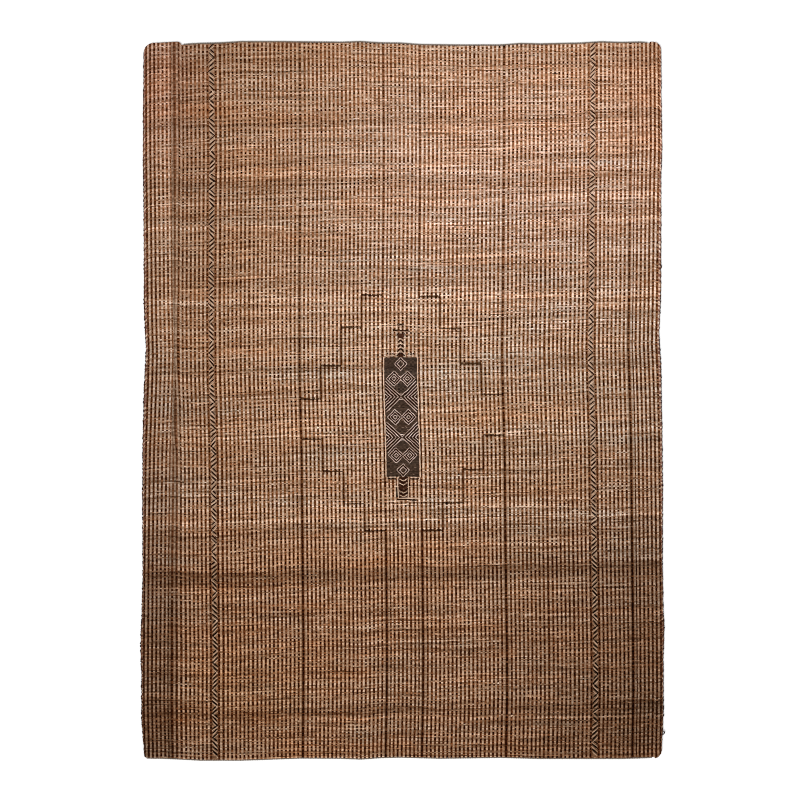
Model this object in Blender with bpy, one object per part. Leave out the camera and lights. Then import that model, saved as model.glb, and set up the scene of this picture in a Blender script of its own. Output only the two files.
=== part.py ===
"""A hand-woven jute floor rug with raised ribs, lying flat.

Metres, +Z up. X runs across the width and Y along the length, with the far end at +Y.
The origin is at the middle of the underside, on the floor.
"""

from collections import namedtuple
from math import sqrt

import bmesh
import bpy
import numpy as np

# Driving sizes of the cloth
WIDTH = 2.44
LENGTH = 3.37
RIBS = 125
CREST_HEIGHT = 0.0090
VALLEY_HEIGHT = 0.0070
SELVEDGE_HEIGHT = 0.0050
END_HEIGHT = 0.0060

# The ribs stand true at both sides and lean to the right between them, by this much over the length
RIB_LEAN = 0.016
LEAN_FLATNESS = 8

# The cords that close the two ends
CORD_DIAMETER = 0.006
CORD_SIDES_SETTING = 2
GAP = 0.0003
FAR_CORD_FROM, FAR_CORD_TO = -1.028, 1.150
NEAR_CORD_FROM, NEAR_CORD_TO = -1.200, 1.160
CORD_END_ROOM = 0.011

# Corner radii, seen from above
FAR_LEFT_RADIUS, FAR_RIGHT_RADIUS = 0.046, 0.034
NEAR_LEFT_RADIUS, NEAR_RIGHT_RADIUS = 0.008, 0.032

# How far each side stands out past half the width, at places along the length
Side = namedtuple("Side", "along left right")
SIDES = [
    Side(-1.685, -0.010, -0.004),
    Side(-1.500, +0.004, +0.006),
    Side(-1.270, +0.004, +0.005),
    Side(-1.120, +0.009, +0.009),
    Side(-0.980, +0.004, +0.004),
    Side(-0.800, -0.002, +0.001),
    Side(-0.420, +0.000, +0.002),
    Side(-0.140, -0.002, -0.001),
    Side(+0.140, -0.009, -0.006),
    Side(+0.290, -0.017, -0.015),
    Side(+0.420, -0.011, -0.009),
    Side(+0.520, -0.008, -0.006),
    Side(+1.060, -0.006, -0.006),
    Side(+1.170, -0.003, -0.001),
    Side(+1.300, -0.004, -0.003),
    Side(+1.685, -0.006, -0.006),
]

# How far each end stands out past half the length, at places across the width
End = namedtuple("End", "across out")
FAR_END = [
    End(-1.230, -0.008),
    End(-1.130, -0.004),
    End(-1.060, +0.000),
    End(-1.049, -0.001),
    End(-1.040, -0.009),
    End(-0.946, -0.004),
    End(-0.853, -0.002),
    End(-0.759, +0.004),
    End(-0.571, +0.004),
    End(-0.290, +0.001),
    End(-0.196, +0.004),
    End(-0.102, -0.002),
    End(-0.008, -0.003),
    End(+0.085, -0.010),
    End(+0.273, -0.012),
    End(+0.461, -0.012),
    End(+0.554, -0.005),
    End(+0.648, -0.007),
    End(+0.836, -0.003),
    End(+0.930, +0.003),
    End(+1.023, +0.000),
    End(+1.117, +0.002),
    End(+1.230, -0.004),
]
NEAR_END = [
    End(-1.230, -0.005),
    End(-1.130, -0.005),
    End(-1.040, -0.001),
    End(-0.946, +0.004),
    End(-0.759, +0.004),
    End(-0.665, +0.001),
    End(-0.477, -0.006),
    End(-0.290, -0.005),
    End(-0.196, -0.001),
    End(-0.102, -0.008),
    End(-0.008, -0.010),
    End(+0.179, -0.005),
    End(+0.461, -0.009),
    End(+0.648, -0.004),
    End(+1.023, -0.004),
    End(+1.230, -0.010),
]


def clear_scene():
    for thing in list(bpy.data.objects):
        bpy.data.objects.remove(thing)


def make_material(name, colour, roughness):
    material = bpy.data.materials.new(name)
    material.use_nodes = True
    shader = material.node_tree.nodes["Principled BSDF"]
    shader.inputs["Base Color"].default_value = (*colour, 1.0)
    shader.inputs["Roughness"].default_value = roughness
    shader.inputs["Metallic"].default_value = 0.0
    return material


def half_width(along, column):
    """The distance from the middle line to one side, at this place along the length."""
    out = np.interp(along, [s.along for s in SIDES], [getattr(s, column) for s in SIDES])
    return WIDTH / 2 + out


def half_length(across, table):
    """The distance from the middle to one end, at this place across the width."""
    return LENGTH / 2 + np.interp(across, [e.across for e in table], [e.out for e in table])


def corner_drop(inward, radius):
    """How far a rounded corner lies behind the end line, this far in from the side."""
    if inward >= radius:
        return 0.0
    return radius - sqrt(radius**2 - (radius - inward) ** 2)


def cord_room(across, start, stop):
    """The room that the cloth leaves for an end cord, which is none beyond the cord's ends."""
    beside = start - CORD_END_ROOM < across < stop + CORD_END_ROOM
    return CORD_DIAMETER + 2 * GAP if beside else 0.0


def far_edge(across, from_left, from_right):
    drop = corner_drop(from_left, FAR_LEFT_RADIUS) + corner_drop(from_right, FAR_RIGHT_RADIUS)
    room = cord_room(across, FAR_CORD_FROM, FAR_CORD_TO)
    return half_length(across, FAR_END) - drop - room


def near_edge(across, from_left, from_right):
    drop = corner_drop(from_left, NEAR_LEFT_RADIUS) + corner_drop(from_right, NEAR_RIGHT_RADIUS)
    room = cord_room(across, NEAR_CORD_FROM, NEAR_CORD_TO)
    return -(half_length(across, NEAR_END) - drop - room)


def surface_height(column, row):
    """The height of the cloth: crests and valleys by turns across it, and lower at its edges."""
    if column in (0, 2 * RIBS):
        return SELVEDGE_HEIGHT
    if row in (0, len(SIDES) - 1):
        return END_HEIGHT
    return CREST_HEIGHT if column % 2 else VALLEY_HEIGHT


def surface_point(column, row):
    """Where a grid point of the upper face lies, with one column for each crest and each valley."""
    along = SIDES[row].along
    across_share = column / (2 * RIBS)
    length_share = (along + LENGTH / 2) / LENGTH
    left = half_width(along, "left")
    right = half_width(along, "right")
    from_left = across_share * (left + right)
    inner = 1 - abs(2 * across_share - 1) ** LEAN_FLATNESS
    x = from_left - left - RIB_LEAN * inner * (length_share - 0.5)
    far = far_edge(x, from_left, left + right - from_left)
    near = near_edge(x, from_left, left + right - from_left)
    return x, near + length_share * (far - near), surface_height(column, row)


def make_field(material):
    """The woven sheet: a grid bent to the outline with its ribs raised, closed by a flat underside."""
    form = bmesh.new()
    rows = len(SIDES)
    columns = 2 * RIBS + 1
    half = 0.5
    bmesh.ops.create_grid(form, x_segments=columns - 1, y_segments=rows - 1, size=half)
    for vertex in form.verts:
        column = round((vertex.co.x + half) * (columns - 1))
        row = round((vertex.co.y + half) * (rows - 1))
        vertex.co = surface_point(column, row)
    rim = [edge for edge in form.edges if edge.is_boundary]
    skirt = bmesh.ops.extrude_edge_only(form, edges=rim)["geom"]
    for vertex in (part for part in skirt if isinstance(part, bmesh.types.BMVert)):
        vertex.co.z = 0.0
    lower_rim = [edge for edge in form.edges if edge.is_boundary]
    bmesh.ops.contextual_create(form, geom=lower_rim)
    bmesh.ops.recalc_face_normals(form, faces=form.faces)
    mesh = bpy.data.meshes.new("rug_field")
    form.to_mesh(mesh)
    form.free()
    mesh.materials.append(material)
    bpy.context.scene.collection.objects.link(bpy.data.objects.new("rug_field", mesh))


def make_end_cord(name, table, start, stop, direction, material):
    """A cord on the floor along one end, with its outer side on the end line."""
    inner_stations = [e.across for e in table if start < e.across < stop]
    curve = bpy.data.curves.new(name, "CURVE")
    curve.dimensions = "3D"
    curve.bevel_depth = CORD_DIAMETER / 2
    curve.bevel_resolution = CORD_SIDES_SETTING
    curve.use_fill_caps = True
    spline = curve.splines.new("POLY")
    stations = [start, *inner_stations, stop]
    spline.points.add(len(stations) - 1)
    for point, across in zip(spline.points, stations, strict=True):
        along = direction * (half_length(across, table) - CORD_DIAMETER / 2)
        point.co = (across, along, CORD_DIAMETER / 2, 1.0)
    curve.materials.append(material)
    bpy.context.scene.collection.objects.link(bpy.data.objects.new(name, curve))


def main():
    clear_scene()
    jute = make_material("jute_weave", (0.40, 0.27, 0.17), 0.92)
    cotton = make_material("taupe_cotton", (0.27, 0.23, 0.19), 0.90)
    make_field(jute)
    make_end_cord("end_binding_top", FAR_END, FAR_CORD_FROM, FAR_CORD_TO, 1, cotton)
    make_end_cord("end_binding_bottom", NEAR_END, NEAR_CORD_FROM, NEAR_CORD_TO, -1, cotton)


main()
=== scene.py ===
# %% [markdown]
# # A hand-woven jute floor rug
# The rug is a flatweave: 126 thick, pale ribs of jute run down its length, with sunk gaps of dark yarn
# between them, painted darker still with the shade that falls into them. Thinner yarns cross the gaps at
# uneven steps, so a gap reads as a row of dark beads. The dye is deeper towards one end. A stepped medallion
# of fine lines and a dark panel of lozenges lie in the middle, and a cotton cord closes each end.
#
# The imported model gives the fixed frame. The rug lies on the floor with its middle at the origin, X across
# the width and Y along the length, in metres.

# %% The fixed frame
from collections import namedtuple
from itertools import product

import bmesh
import bpy
import numpy as np
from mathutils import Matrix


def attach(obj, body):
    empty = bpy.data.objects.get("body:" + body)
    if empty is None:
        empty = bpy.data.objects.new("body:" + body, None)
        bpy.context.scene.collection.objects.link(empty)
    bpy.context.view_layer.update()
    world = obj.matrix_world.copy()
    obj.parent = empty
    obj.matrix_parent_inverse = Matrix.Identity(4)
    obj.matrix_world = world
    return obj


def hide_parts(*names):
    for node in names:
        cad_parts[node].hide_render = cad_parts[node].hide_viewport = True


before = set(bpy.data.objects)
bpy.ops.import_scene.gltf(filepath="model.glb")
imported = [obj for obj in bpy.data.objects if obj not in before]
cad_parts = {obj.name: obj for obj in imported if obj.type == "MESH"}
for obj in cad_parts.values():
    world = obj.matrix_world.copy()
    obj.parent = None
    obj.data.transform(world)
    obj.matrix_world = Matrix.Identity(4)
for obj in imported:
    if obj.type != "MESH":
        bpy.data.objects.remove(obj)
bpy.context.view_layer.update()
random = np.random.default_rng(11)
print("frame nodes:", sorted(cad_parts))

# %% Pieces and tables
BOTH = (-1, 1)
scene = bpy.context.scene


def make_object(name, data):
    """A new thing in the scene."""
    thing = bpy.data.objects.new(name, data)
    scene.collection.objects.link(thing)
    return thing


def mesh_of(form, name):
    """The mesh of a form."""
    mesh = bpy.data.meshes.new(name)
    form.to_mesh(mesh)
    form.free()
    return mesh


def table(columns, *rows, parts=None):
    """Rows with named columns. Their numbers may be in parts of a unit, such as 1000 for millimetres."""
    Row = namedtuple("Row", columns)
    return [Row(*row) if parts is None else Row(*(value / parts for value in row)) for row in rows]


def read_off(rows, column, places):
    """A column of a table, read between its rows at these places of its first column."""
    return np.interp(places, [row[0] for row in rows], [getattr(row, column) for row in rows])


def within(values, low, high):
    return (values > low) & (values < high)


def noise(*shape):
    return random.standard_normal(shape)


# %% [markdown]
# ## Camera, floor and light
# The camera looks straight down from far above through a long lens. The floor is a plain near-white sheet. A
# soft lamp shapes the ribs, and an even white sky fills the gaps. The standard view keeps the jute at its own
# tone.

# %% Camera
CAMERA_LENS_MM = 85
CAMERA_PLACE = (-0.0108, 0.0043, 8.866)

scene.view_settings.view_transform = "Standard"
scene.cycles.filter_width = 1.0
scene.cycles.denoising_prefilter = "NONE"
camera_data = bpy.data.cameras.new("camera_above")
camera_data.lens = CAMERA_LENS_MM
scene.camera = make_object("camera_above", camera_data)
scene.camera.location = CAMERA_PLACE
print("camera height", CAMERA_PLACE[2])


# %% Floor
def set_inputs(node, values):
    """Values for the inputs of a node, or the outputs of other nodes."""
    for key, value in values.items():
        if isinstance(value, bpy.types.NodeSocket):
            node.id_data.links.new(value, node.inputs[key])
        else:
            node.inputs[key].default_value = value


def new_material(name):
    material = bpy.data.materials.new(name)
    material.use_nodes = True
    return material


WHITE = (1.0, 1.0, 1.0, 1.0)
FLOOR_HALF, FLOOR_LEVEL, FLOOR_GLOW = 14.0, -0.0006, 0.12
floor_form = bmesh.new()
bmesh.ops.create_grid(floor_form, x_segments=1, y_segments=1, size=FLOOR_HALF)
bmesh.ops.translate(floor_form, verts=floor_form.verts, vec=(0, 0, FLOOR_LEVEL))
floor_mesh = mesh_of(floor_form, "studio_floor")
studio_white = new_material("studio_white")
set_inputs(studio_white.node_tree.nodes["Principled BSDF"], {
    "Base Color": (0.96, 0.96, 0.96, 1.0), "Roughness": 0.9, "Specular IOR Level": 0.15,
    "Emission Color": WHITE, "Emission Strength": FLOOR_GLOW,
})
floor_mesh.materials.append(studio_white)
make_object("studio_floor", floor_mesh)

# %% Light
SKY_STRENGTH, LAMP_STRENGTH, LAMP_SOFTNESS = 0.62, 1.75, 0.5
LAMP_TILT = (0.62, -0.52, 0.0)

world = bpy.data.worlds.new("studio_sky")
world.use_nodes = True
set_inputs(world.node_tree.nodes["Background"], {"Color": WHITE, "Strength": SKY_STRENGTH})
scene.world = world
lamp_data = bpy.data.lights.new("studio_lamp", "SUN")
lamp_data.energy = LAMP_STRENGTH
lamp_data.angle = LAMP_SOFTNESS
make_object("studio_lamp", lamp_data).rotation_euler = LAMP_TILT
print("lamp strength", LAMP_STRENGTH, "sky", SKY_STRENGTH)

# %% [markdown]
# ## The outline
# A rug woven by hand is never a true rectangle: each side wanders by a centimetre or two, and each corner has
# its own turn of the yarn. These are the driving sizes of the cloth: how far each side and each end stands
# out past half the width or half the length, where the end cords run and how round the corners are.

# %% Outline of the cloth
WIDTH, LENGTH = 2.44, 3.37
SIDES = table(
    "along left right",
    (-1685, -10, -4), (-1500, 4, 6), (-1270, 4, 5), (-1120, 9, 9), (-980, 4, 4), (-800, -2, 1), (-420, 0, 2),
    (-140, -2, -1), (140, -9, -6), (290, -17, -15), (420, -11, -9), (520, -8, -6), (1060, -6, -6),
    (1170, -3, -1), (1300, -4, -3), (1685, -6, -6),
    parts=1000,
)
FAR_LINE = table(
    "across out",
    (-1230, -8), (-1130, -4), (-1060, 0), (-1049, -1), (-1040, -9), (-946, -4), (-853, -2), (-759, 4),
    (-571, 4), (-290, 1), (-196, 4), (-102, -2), (-8, -3), (85, -10), (273, -12), (461, -12), (554, -5),
    (648, -7), (836, -3), (930, 3), (1023, 0), (1117, 2), (1230, -4),
    parts=1000,
)
NEAR_LINE = table(
    "across out",
    (-1230, -5), (-1130, -5), (-1040, -1), (-946, 4), (-759, 4), (-665, 1), (-477, -6), (-290, -5),
    (-196, -1), (-102, -8), (-8, -10), (179, -5), (461, -9), (648, -4), (1023, -4), (1230, -10),
    parts=1000,
)
FAR_END, NEAR_END = table(
    "direction line cord_from cord_to left_radius right_radius",
    (1, FAR_LINE, -1.028, 1.15, 0.046, 0.034),
    (-1, NEAR_LINE, -1.2, 1.172, 0.008, 0.034),
)


def half_width(along, side):
    """The distance from the middle line to one side, at places along the length."""
    return WIDTH / 2 + read_off(SIDES, side, along)


def half_length(across, line):
    """The distance from the middle to one end, at places across the width."""
    return LENGTH / 2 + read_off(line, "out", across)


print("outline stations:", len(SIDES), "on the sides,", len(FAR_LINE) + len(NEAR_LINE), "on the ends")

# %% [markdown]
# ## The ribs
# The pitch of the ribs is even but for a few gaps that the weaver left wider or closer. The wide ones are
# dark lines that split the rug into its borders, fields and middle. The ribs also sway together along the
# length.

# %% Places of the ribs
RIBS, MIDDLE_RIB = 126, 63
RIB_PITCH, FIRST_CREST = 0.01934, -1.2058
LEFT_SELVEDGE, RIGHT_SELVEDGE = -1.2139, 1.2145
RIB_HALF, FLANK_FOLLOW = 0.005, 0.35
EXTRA_AFTER_RIB = {
    6: -0.0052, 7: -0.0091, 8: -0.0091, 19: 0.0028, 26: 0.0028, 38: 0.0056, 58: 0.0037, 59: -0.0039,
    66: -0.0039, 67: 0.0037, 87: 0.0063, 97: 0.0028, 98: 0.001, 103: 0.002, 117: 0.005, 118: -0.0068,
}
COLUMNS = 4 * RIBS

steps = RIB_PITCH + np.array([EXTRA_AFTER_RIB.get(rib, 0.0) for rib in range(RIBS - 1)])
crests = FIRST_CREST + np.concatenate([[0.0], np.cumsum(steps)])
gaps = np.concatenate([[LEFT_SELVEDGE], (crests[:-1] + crests[1:]) / 2, [RIGHT_SELVEDGE]])
wider = FLANK_FOLLOW * np.maximum(np.concatenate([[RIB_PITCH], steps, [RIB_PITCH]]) - RIB_PITCH, 0)
column_x = np.empty(COLUMNS + 1)
column_x[0::4] = gaps
column_x[1::4] = crests - np.minimum(RIB_HALF + wider[:-1], (crests - gaps[:-1]) / 2)
column_x[2::4] = crests
column_x[3::4] = crests + np.minimum(RIB_HALF + wider[1:], (gaps[1:] - crests) / 2)
rib_of_column = np.arange(COLUMNS + 1) / 4
print("crests from", crests[0].round(4), "to", crests[-1].round(4))

# %% Sway of the ribs
SWAY = table(
    "along left_border left middle right right_border",
    (-1.64, -12, 14, 7, 10, 11), (-1.4, -17, 12, 12, 15, 15), (-1.17, -16, 13, 13, 14, 14),
    (-0.7, -13, 8, 9, 7, 10), (-0.23, -7, 6, 2, 3, 5), (0.0, 0, 1, -5, -4, 0),
    (0.12, 4, -3, -8, -7, -4), (0.24, 7, -4, -8, -9, -9), (0.47, 2, -5, -8, -5, -5),
    (0.94, -2, -3, -3, -2, 0), (1.18, -5, -1, -2, 1, 5), (1.65, -6, -5, -5, 1, 2),
)
MILLIMETRE = 0.001
SWAY_PARTS = (
    "left_border", "left_border", "left", "middle", "right", "right", "right_border", "right_border"
)
SWAY_RIBS = (0, 1, 7.6, 11, 63, 88, 116, 119, 125, 126)


def sway_at(along):
    """How far every column stands off its place, for one row of the weave."""
    inner = [MILLIMETRE * read_off(SWAY, part, along) for part in SWAY_PARTS]
    left_side = -half_width(along, "left") - LEFT_SELVEDGE
    right_side = half_width(along, "right") - RIGHT_SELVEDGE
    return np.interp(rib_of_column, SWAY_RIBS, [left_side, *inner, right_side])


print("sway stations:", len(SWAY))

# %% [markdown]
# ## The points of the weave
# The cloth is one grid of weave points: four columns for each rib (gap, flank, crest, flank) and one row for
# each pick, which is one pass of the crossing yarn. A face of the grid is one pick over one part of a rib,
# and has its own tone. The picks climb a little to the right over the middle of the rug. The field drifts
# away from the left border towards the near end, and one rib between them is squeezed away towards the far
# end.

# %% Weave points seen from above
PICKS = 640
PICK_CLIMB, CLIMB_FADE = 0.052, 0.42
CORD_DIAMETER, GAP, CORD_END_ROOM = 0.006, 0.0003, 0.011
BORDER_RIB, FIELD_RIB = 7, 11
STRIPE_PITCH, LEAST_ROOM, SQUEEZED_BELOW, LEAST_SHARE, FLANK_SHARE = (0.0185, 0.0215), 0.003, 0.016, 0.3, 0.4


def corner_drop(inward, radius):
    """How far a rounded corner lies behind the end line, this far in from the side."""
    short = np.clip(radius - inward, 0, radius)
    return radius - np.sqrt(radius**2 - short**2)


def cloth_reach(end):
    """How far the cloth reaches to one end, inside the end cord and round the corners."""
    beside_cord = within(place_x, end.cord_from - CORD_END_ROOM, end.cord_to + CORD_END_ROOM)
    reach = half_length(place_x, end.line) - np.where(beside_cord, CORD_DIAMETER + 2 * GAP, 0.0)
    from_left, from_right = place_x - place_x[:, :1], place_x[:, -1:] - place_x
    return reach - (corner_drop(from_left, end.left_radius) + corner_drop(from_right, end.right_radius))


row_share = np.linspace(0, 1, PICKS + 1)
along_row = (row_share - 0.5) * LENGTH
place_x = np.array([column_x + sway_at(along) for along in along_row])
border_crest, field_crest = place_x[:, 4 * BORDER_RIB + 2], place_x[:, 4 * FIELD_RIB + 2]
pitch = np.clip((field_crest - border_crest) / (FIELD_RIB - BORDER_RIB), *STRIPE_PITCH)
stripe_crests = [border_crest]
for rib in range(BORDER_RIB + 1, FIELD_RIB):
    room = field_crest - (FIELD_RIB - rib) * pitch - border_crest
    squeeze = np.clip((room / SQUEEZED_BELOW) ** 2, LEAST_SHARE, 1)
    stripe_crests.append(border_crest + np.maximum(room, LEAST_ROOM * (rib - BORDER_RIB)) * squeeze)
stripe_crests.append(field_crest)
for rib, (crest, beyond) in enumerate(zip(stripe_crests, stripe_crests[1:]), start=BORDER_RIB):
    flank = np.minimum(RIB_HALF, FLANK_SHARE * (beyond - crest))
    for step, across in enumerate((crest + flank, (crest + beyond) / 2, beyond - flank, beyond), start=3):
        place_x[:, 4 * rib + step] = across
far_y, near_y = cloth_reach(FAR_END), cloth_reach(NEAR_END)
place_y = -near_y + row_share[:, None] * (far_y + near_y)
from_end = np.clip((LENGTH / 2 - np.abs(along_row)) / CLIMB_FADE, 0, 1)[:, None]
place_y += PICK_CLIMB * place_x / WIDTH * (3 - 2 * from_end) * from_end**2
print("weave points:", place_x.size, "pick", round(LENGTH / PICKS * 1000, 2), "mm")

# %% Room for the dark panel
PANEL_MIDDLE, PANEL_HALF, PANEL_HALF_RIBS, PANEL_RIBS_IN = -0.0754, 0.2815, 4.5, 3.7
PANEL_SPREAD = table("ribs across", (3.5, 0.0755), (3.75, 0.0768), (4.0, 0.0797), (4.25, 0.0826))
middle_column = 4 * MIDDLE_RIB + 2

panel_rows = np.abs(place_y[:, middle_column] - PANEL_MIDDLE) < PANEL_HALF
for beside, side in product(PANEL_SPREAD, BOTH):
    column = middle_column + round(4 * side * beside.ribs)
    place_x[panel_rows, column] = place_x[panel_rows, middle_column] + side * beside.across
print("rows beside the panel:", int(panel_rows.sum()))

# %% Unevenness of the hand
ROW_WANDER, WAVE_SHARE, STEADY_ROWS = 0.002, 0.45, 12
POINT_JITTER, ACROSS_SHARE, LOOP_UNEVEN = 0.0009, 0.7, 0.0013
WAVES = table("span turns", (4.1, 61), (7.3, 37), (12.7, 83), (19, 19), (31, 11), (5.2, 47))

row_number = np.arange(PICKS + 1)
rows_inside = np.clip(np.minimum(row_number, PICKS - row_number) / STEADY_ROWS, 0, 1)[:, None]
for wave in WAVES:
    phase = random.uniform(0, 2 * np.pi)
    swing = np.sin(rib_of_column / wave.span + row_share[:, None] * wave.turns + phase)
    place_y += rows_inside * ROW_WANDER * WAVE_SHARE * swing
place_y += rows_inside * POINT_JITTER * noise(*place_y.shape)
place_x[:, 1:-1] += POINT_JITTER * ACROSS_SHARE * noise(*place_x[:, 1:-1].shape)
for edge, outward in ((0, -1), (COLUMNS, 1)):
    place_x[:, edge] += outward * LOOP_UNEVEN * noise(PICKS + 1) * rows_inside[:, 0]
print("picks wander by up to", round(ROW_WANDER * WAVE_SHARE * len(WAVES) * 1000, 1), "mm")

# %% [markdown]
# ## The crossing yarns and the lines of the medallion
# Where a pick is strong it bridges the gap between two ribs and shows pale, often over a few ribs side by
# side. Near the far end many gaps are partly bridged, and towards the near end they close into dark lines.
# The medallion is drawn with the same means: some gaps have few bridges, and short dark dashes step between
# them.

# %% Bridges over the gaps
GAP_ANSWER, RIB_ANSWER = (-0.42, -0.3), (-0.06, -0.14)
BRIDGING = table(
    "along mean spread",
    (-1.685, 0.08, 0.33), (-0.9, 0.09, 0.33), (-0.3, 0.15, 0.33),
    (0.4, 0.22, 0.32), (1.0, 0.31, 0.31), (1.685, 0.33, 0.31),
)


def drift(rows, ribs, reach, shared):
    """Random values for each row and rib, partly shared by neighbours over so many ribs."""
    keep = np.exp(-1 / reach)
    common = noise(rows, ribs)
    for rib in range(1, ribs):
        common[:, rib] = keep * common[:, rib - 1] + np.sqrt(1 - keep**2) * common[:, rib]
    return np.sqrt(shared) * common + np.sqrt(1 - shared) * noise(rows, ribs)


def over_under(values, answer):
    """The values with each row set against the two before it, as a pick goes over and then under."""
    for row in range(2, len(values)):
        values[row] += answer[0] * values[row - 1] + answer[1] * values[row - 2]
    return values / values.std()


def gap_faces(faces, values):
    """Values of gaps, given to the faces on both sides."""
    faces[:, 0::4], faces[:, 3::4] = values[:, :-1], values[:, 1:]


along_pick = (along_row[:-1] + along_row[1:]) / 2
mean_bridge, bridge_spread = (read_off(BRIDGING, what, along_pick)[:, None] for what in ("mean", "spread"))
strength = over_under(drift(PICKS, RIBS + 1, 6.0, 0.82), GAP_ANSWER)
gap_bridge = np.clip(mean_bridge + bridge_spread * strength, 0, 1)
face_bridge = np.zeros((PICKS, COLUMNS))
gap_faces(face_bridge, gap_bridge)
print("mean bridge strength", gap_bridge.mean().round(3))

# %% Dark lines and dashes
GapLine = namedtuple("GapLine", "offset near far near_bridge far_bridge")
Dash = namedtuple("Dash", "inner outer along")
STEPS = table(
    "inner outer far_left far_right near_left near_right",
    (4.5, 9.5, 0.496, 0.49, -0.609, -0.607), (9.5, 14.5, 0.345, 0.34, -0.483, -0.478),
    (14.5, 19.5, 0.166, 0.175, -0.331, -0.321), (19.5, 24.5, 0.009, 0.03, -0.179, -0.161),
)
FULL_LINES = table(
    "near_bridge far_bridge offsets",
    (0.5, 1.0, (-24.5, 24.5)), (0.4, 0.95, (54.5,)), (0.6, 0.55, (-62.5, -61.5, -60.5, 59.5, 60.5)),
    (0.7, 0.8, (-43.5, 34.5, 55.5, 56.5, 57.5, 58.5, 61.5)),
)
PANEL_LINE_HALF = 0.285
STEP_BRIDGE, PANEL_BRIDGE = 0.4, 0.55

gap_lines = [GapLine(offset, -LENGTH, LENGTH, row.near_bridge, row.far_bridge)
             for row in FULL_LINES for offset in row.offsets]
dashes = []
for side, name in ((-1, "left"), (1, "right")):
    far_places, near_places = ([getattr(step, end + name) for step in STEPS] for end in ("far_", "near_"))
    beside_panel = side * PANEL_HALF_RIBS
    gap_lines += [
        GapLine(beside_panel, far_places[0], LENGTH, 0.8, 0.85),
        GapLine(beside_panel, -LENGTH, near_places[0], 0.5, 0.5),
        GapLine(beside_panel, PANEL_MIDDLE - PANEL_LINE_HALF, PANEL_MIDDLE + PANEL_LINE_HALF,
                PANEL_BRIDGE, PANEL_BRIDGE),
    ]
    for step, far, near in zip(STEPS, far_places, near_places):
        span = sorted((side * step.inner, side * step.outer))
        dashes += [Dash(*span, far), Dash(*span, near)]
    for index, step in enumerate(STEPS[:-1]):
        for places in (far_places, near_places):
            ends = sorted(places[index : index + 2])
            gap_lines.append(GapLine(side * step.outer, *ends, STEP_BRIDGE, STEP_BRIDGE))
print("gap lines:", len(gap_lines), "dashes:", len(dashes))

# %% Marks on the weave
OPEN_LINE, LINE_SHADES, DASH_HALF = 0.5, (0.7, 0.86, 0.86, 0.7), 0.0039
CLOSING_PLACES = (-0.8, 0.8)
FADE_PLACES, LINE_FADE = (0.2, 1.2), (1.0, 0.25)
CREST_COVER, FLANK_COVER, BAND_COVER = 1.0, 0.52, 0.62
ZIGZAGS = table("side rib seed", ("left", 18, 52), ("right", 109, 46))
FELTED_GAPS = table("rib near far", (7, 0.05, 0.28), (8, 0.05, 0.42), (9, 0.1, 0.38))
FELTED_PLACES, FELTED_UNEVEN = (-0.95, -0.45), (0.6, 1.3)

face_y = (place_y[:-1, :-1] + place_y[1:, :-1]) / 2
in_line = np.zeros(place_x.shape, dtype=bool)
line_shade_tone = np.ones(face_bridge.shape)
for line in gap_lines:
    column = round((line.offset + MIDDLE_RIB + 0.5) * 4)
    in_line[within(place_y[:, column], line.near, line.far), column] = True
    for face in (column - 1, column):
        rows = within(face_y[:, face], line.near, line.far)
        closing = np.interp(face_y[:, face], CLOSING_PLACES, (line.near_bridge, line.far_bridge))
        face_bridge[rows, face] *= closing[rows]
    # Beside an open gap line the faces are darkened: partly the line's own dark yarn, partly painted shade in
    # its groove.
    if line.near_bridge <= OPEN_LINE:
        rows = within(face_y[:, column], line.near, line.far)
        fade = np.interp(face_y[rows, column], FADE_PLACES, LINE_FADE)[:, None]
        line_shade_tone[rows, column - 2 : column + 2] = 1 - fade * (1 - np.array(LINE_SHADES))
cover = np.zeros(place_x.shape)
for first, share in ((1, FLANK_COVER), (2, CREST_COVER), (3, FLANK_COVER)):
    cover[:, first::4] = share
band_columns = [column for band in ZIGZAGS for column in range(4 * band.rib - 2, 4 * band.rib + 3)]
cover[:, band_columns] = BAND_COVER
for gap in FELTED_GAPS:
    felted = np.interp(along_pick, FELTED_PLACES, (gap.near, gap.far)) * random.uniform(*FELTED_UNEVEN, PICKS)
    for face in (4 * gap.rib - 1, 4 * gap.rib):
        face_bridge[:, face] = np.clip(np.maximum(face_bridge[:, face], felted), 0, 1)
rib_of_face = (np.arange(COLUMNS) + 0.5) / 4
in_dash = np.zeros(face_bridge.shape, dtype=bool)
for dash in dashes:
    for column in np.flatnonzero(within(rib_of_face - MIDDLE_RIB - 0.5, dash.inner, dash.outer)):
        in_dash[np.abs(face_y[:, column] - dash.along) < DASH_HALF, column] = True
print("faces in lines and dashes:", int(in_dash.sum()), "points in lines:", int(in_line.sum()))

# %% [markdown]
# ## Heights of the cloth
# A rib stands nearly three times as high as the gap beside it. A bridge lifts its gap most of the way up
# again, and a gap line or a dash sinks. The dark panel is a close, nearly flat weave without ribs.

# %% Heights
CREST, FLANK, CREST_UNEVEN = 0.0086, 0.0066, 0.0004
FLANK_UNEVEN = 0.8 * CREST_UNEVEN
PIT, BRIDGE_LIFT, LINE_PIT, DASH_LEVEL = 0.003, 0.0036, 0.0028, 0.005
EDGE, END_LEVEL, PANEL_LEVEL, PANEL_UNEVEN = 0.0052, 0.006, 0.0064, 0.0002
LOWEST, HIGHEST = 0.0012, 0.0096


def at_points(faces):
    """Values of the faces, averaged at the points between them."""
    padded = np.pad(faces, 1, mode="edge")
    return (padded[:-1, :-1] + padded[1:, :-1] + padded[:-1, 1:] + padded[1:, 1:]) / 4


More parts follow.
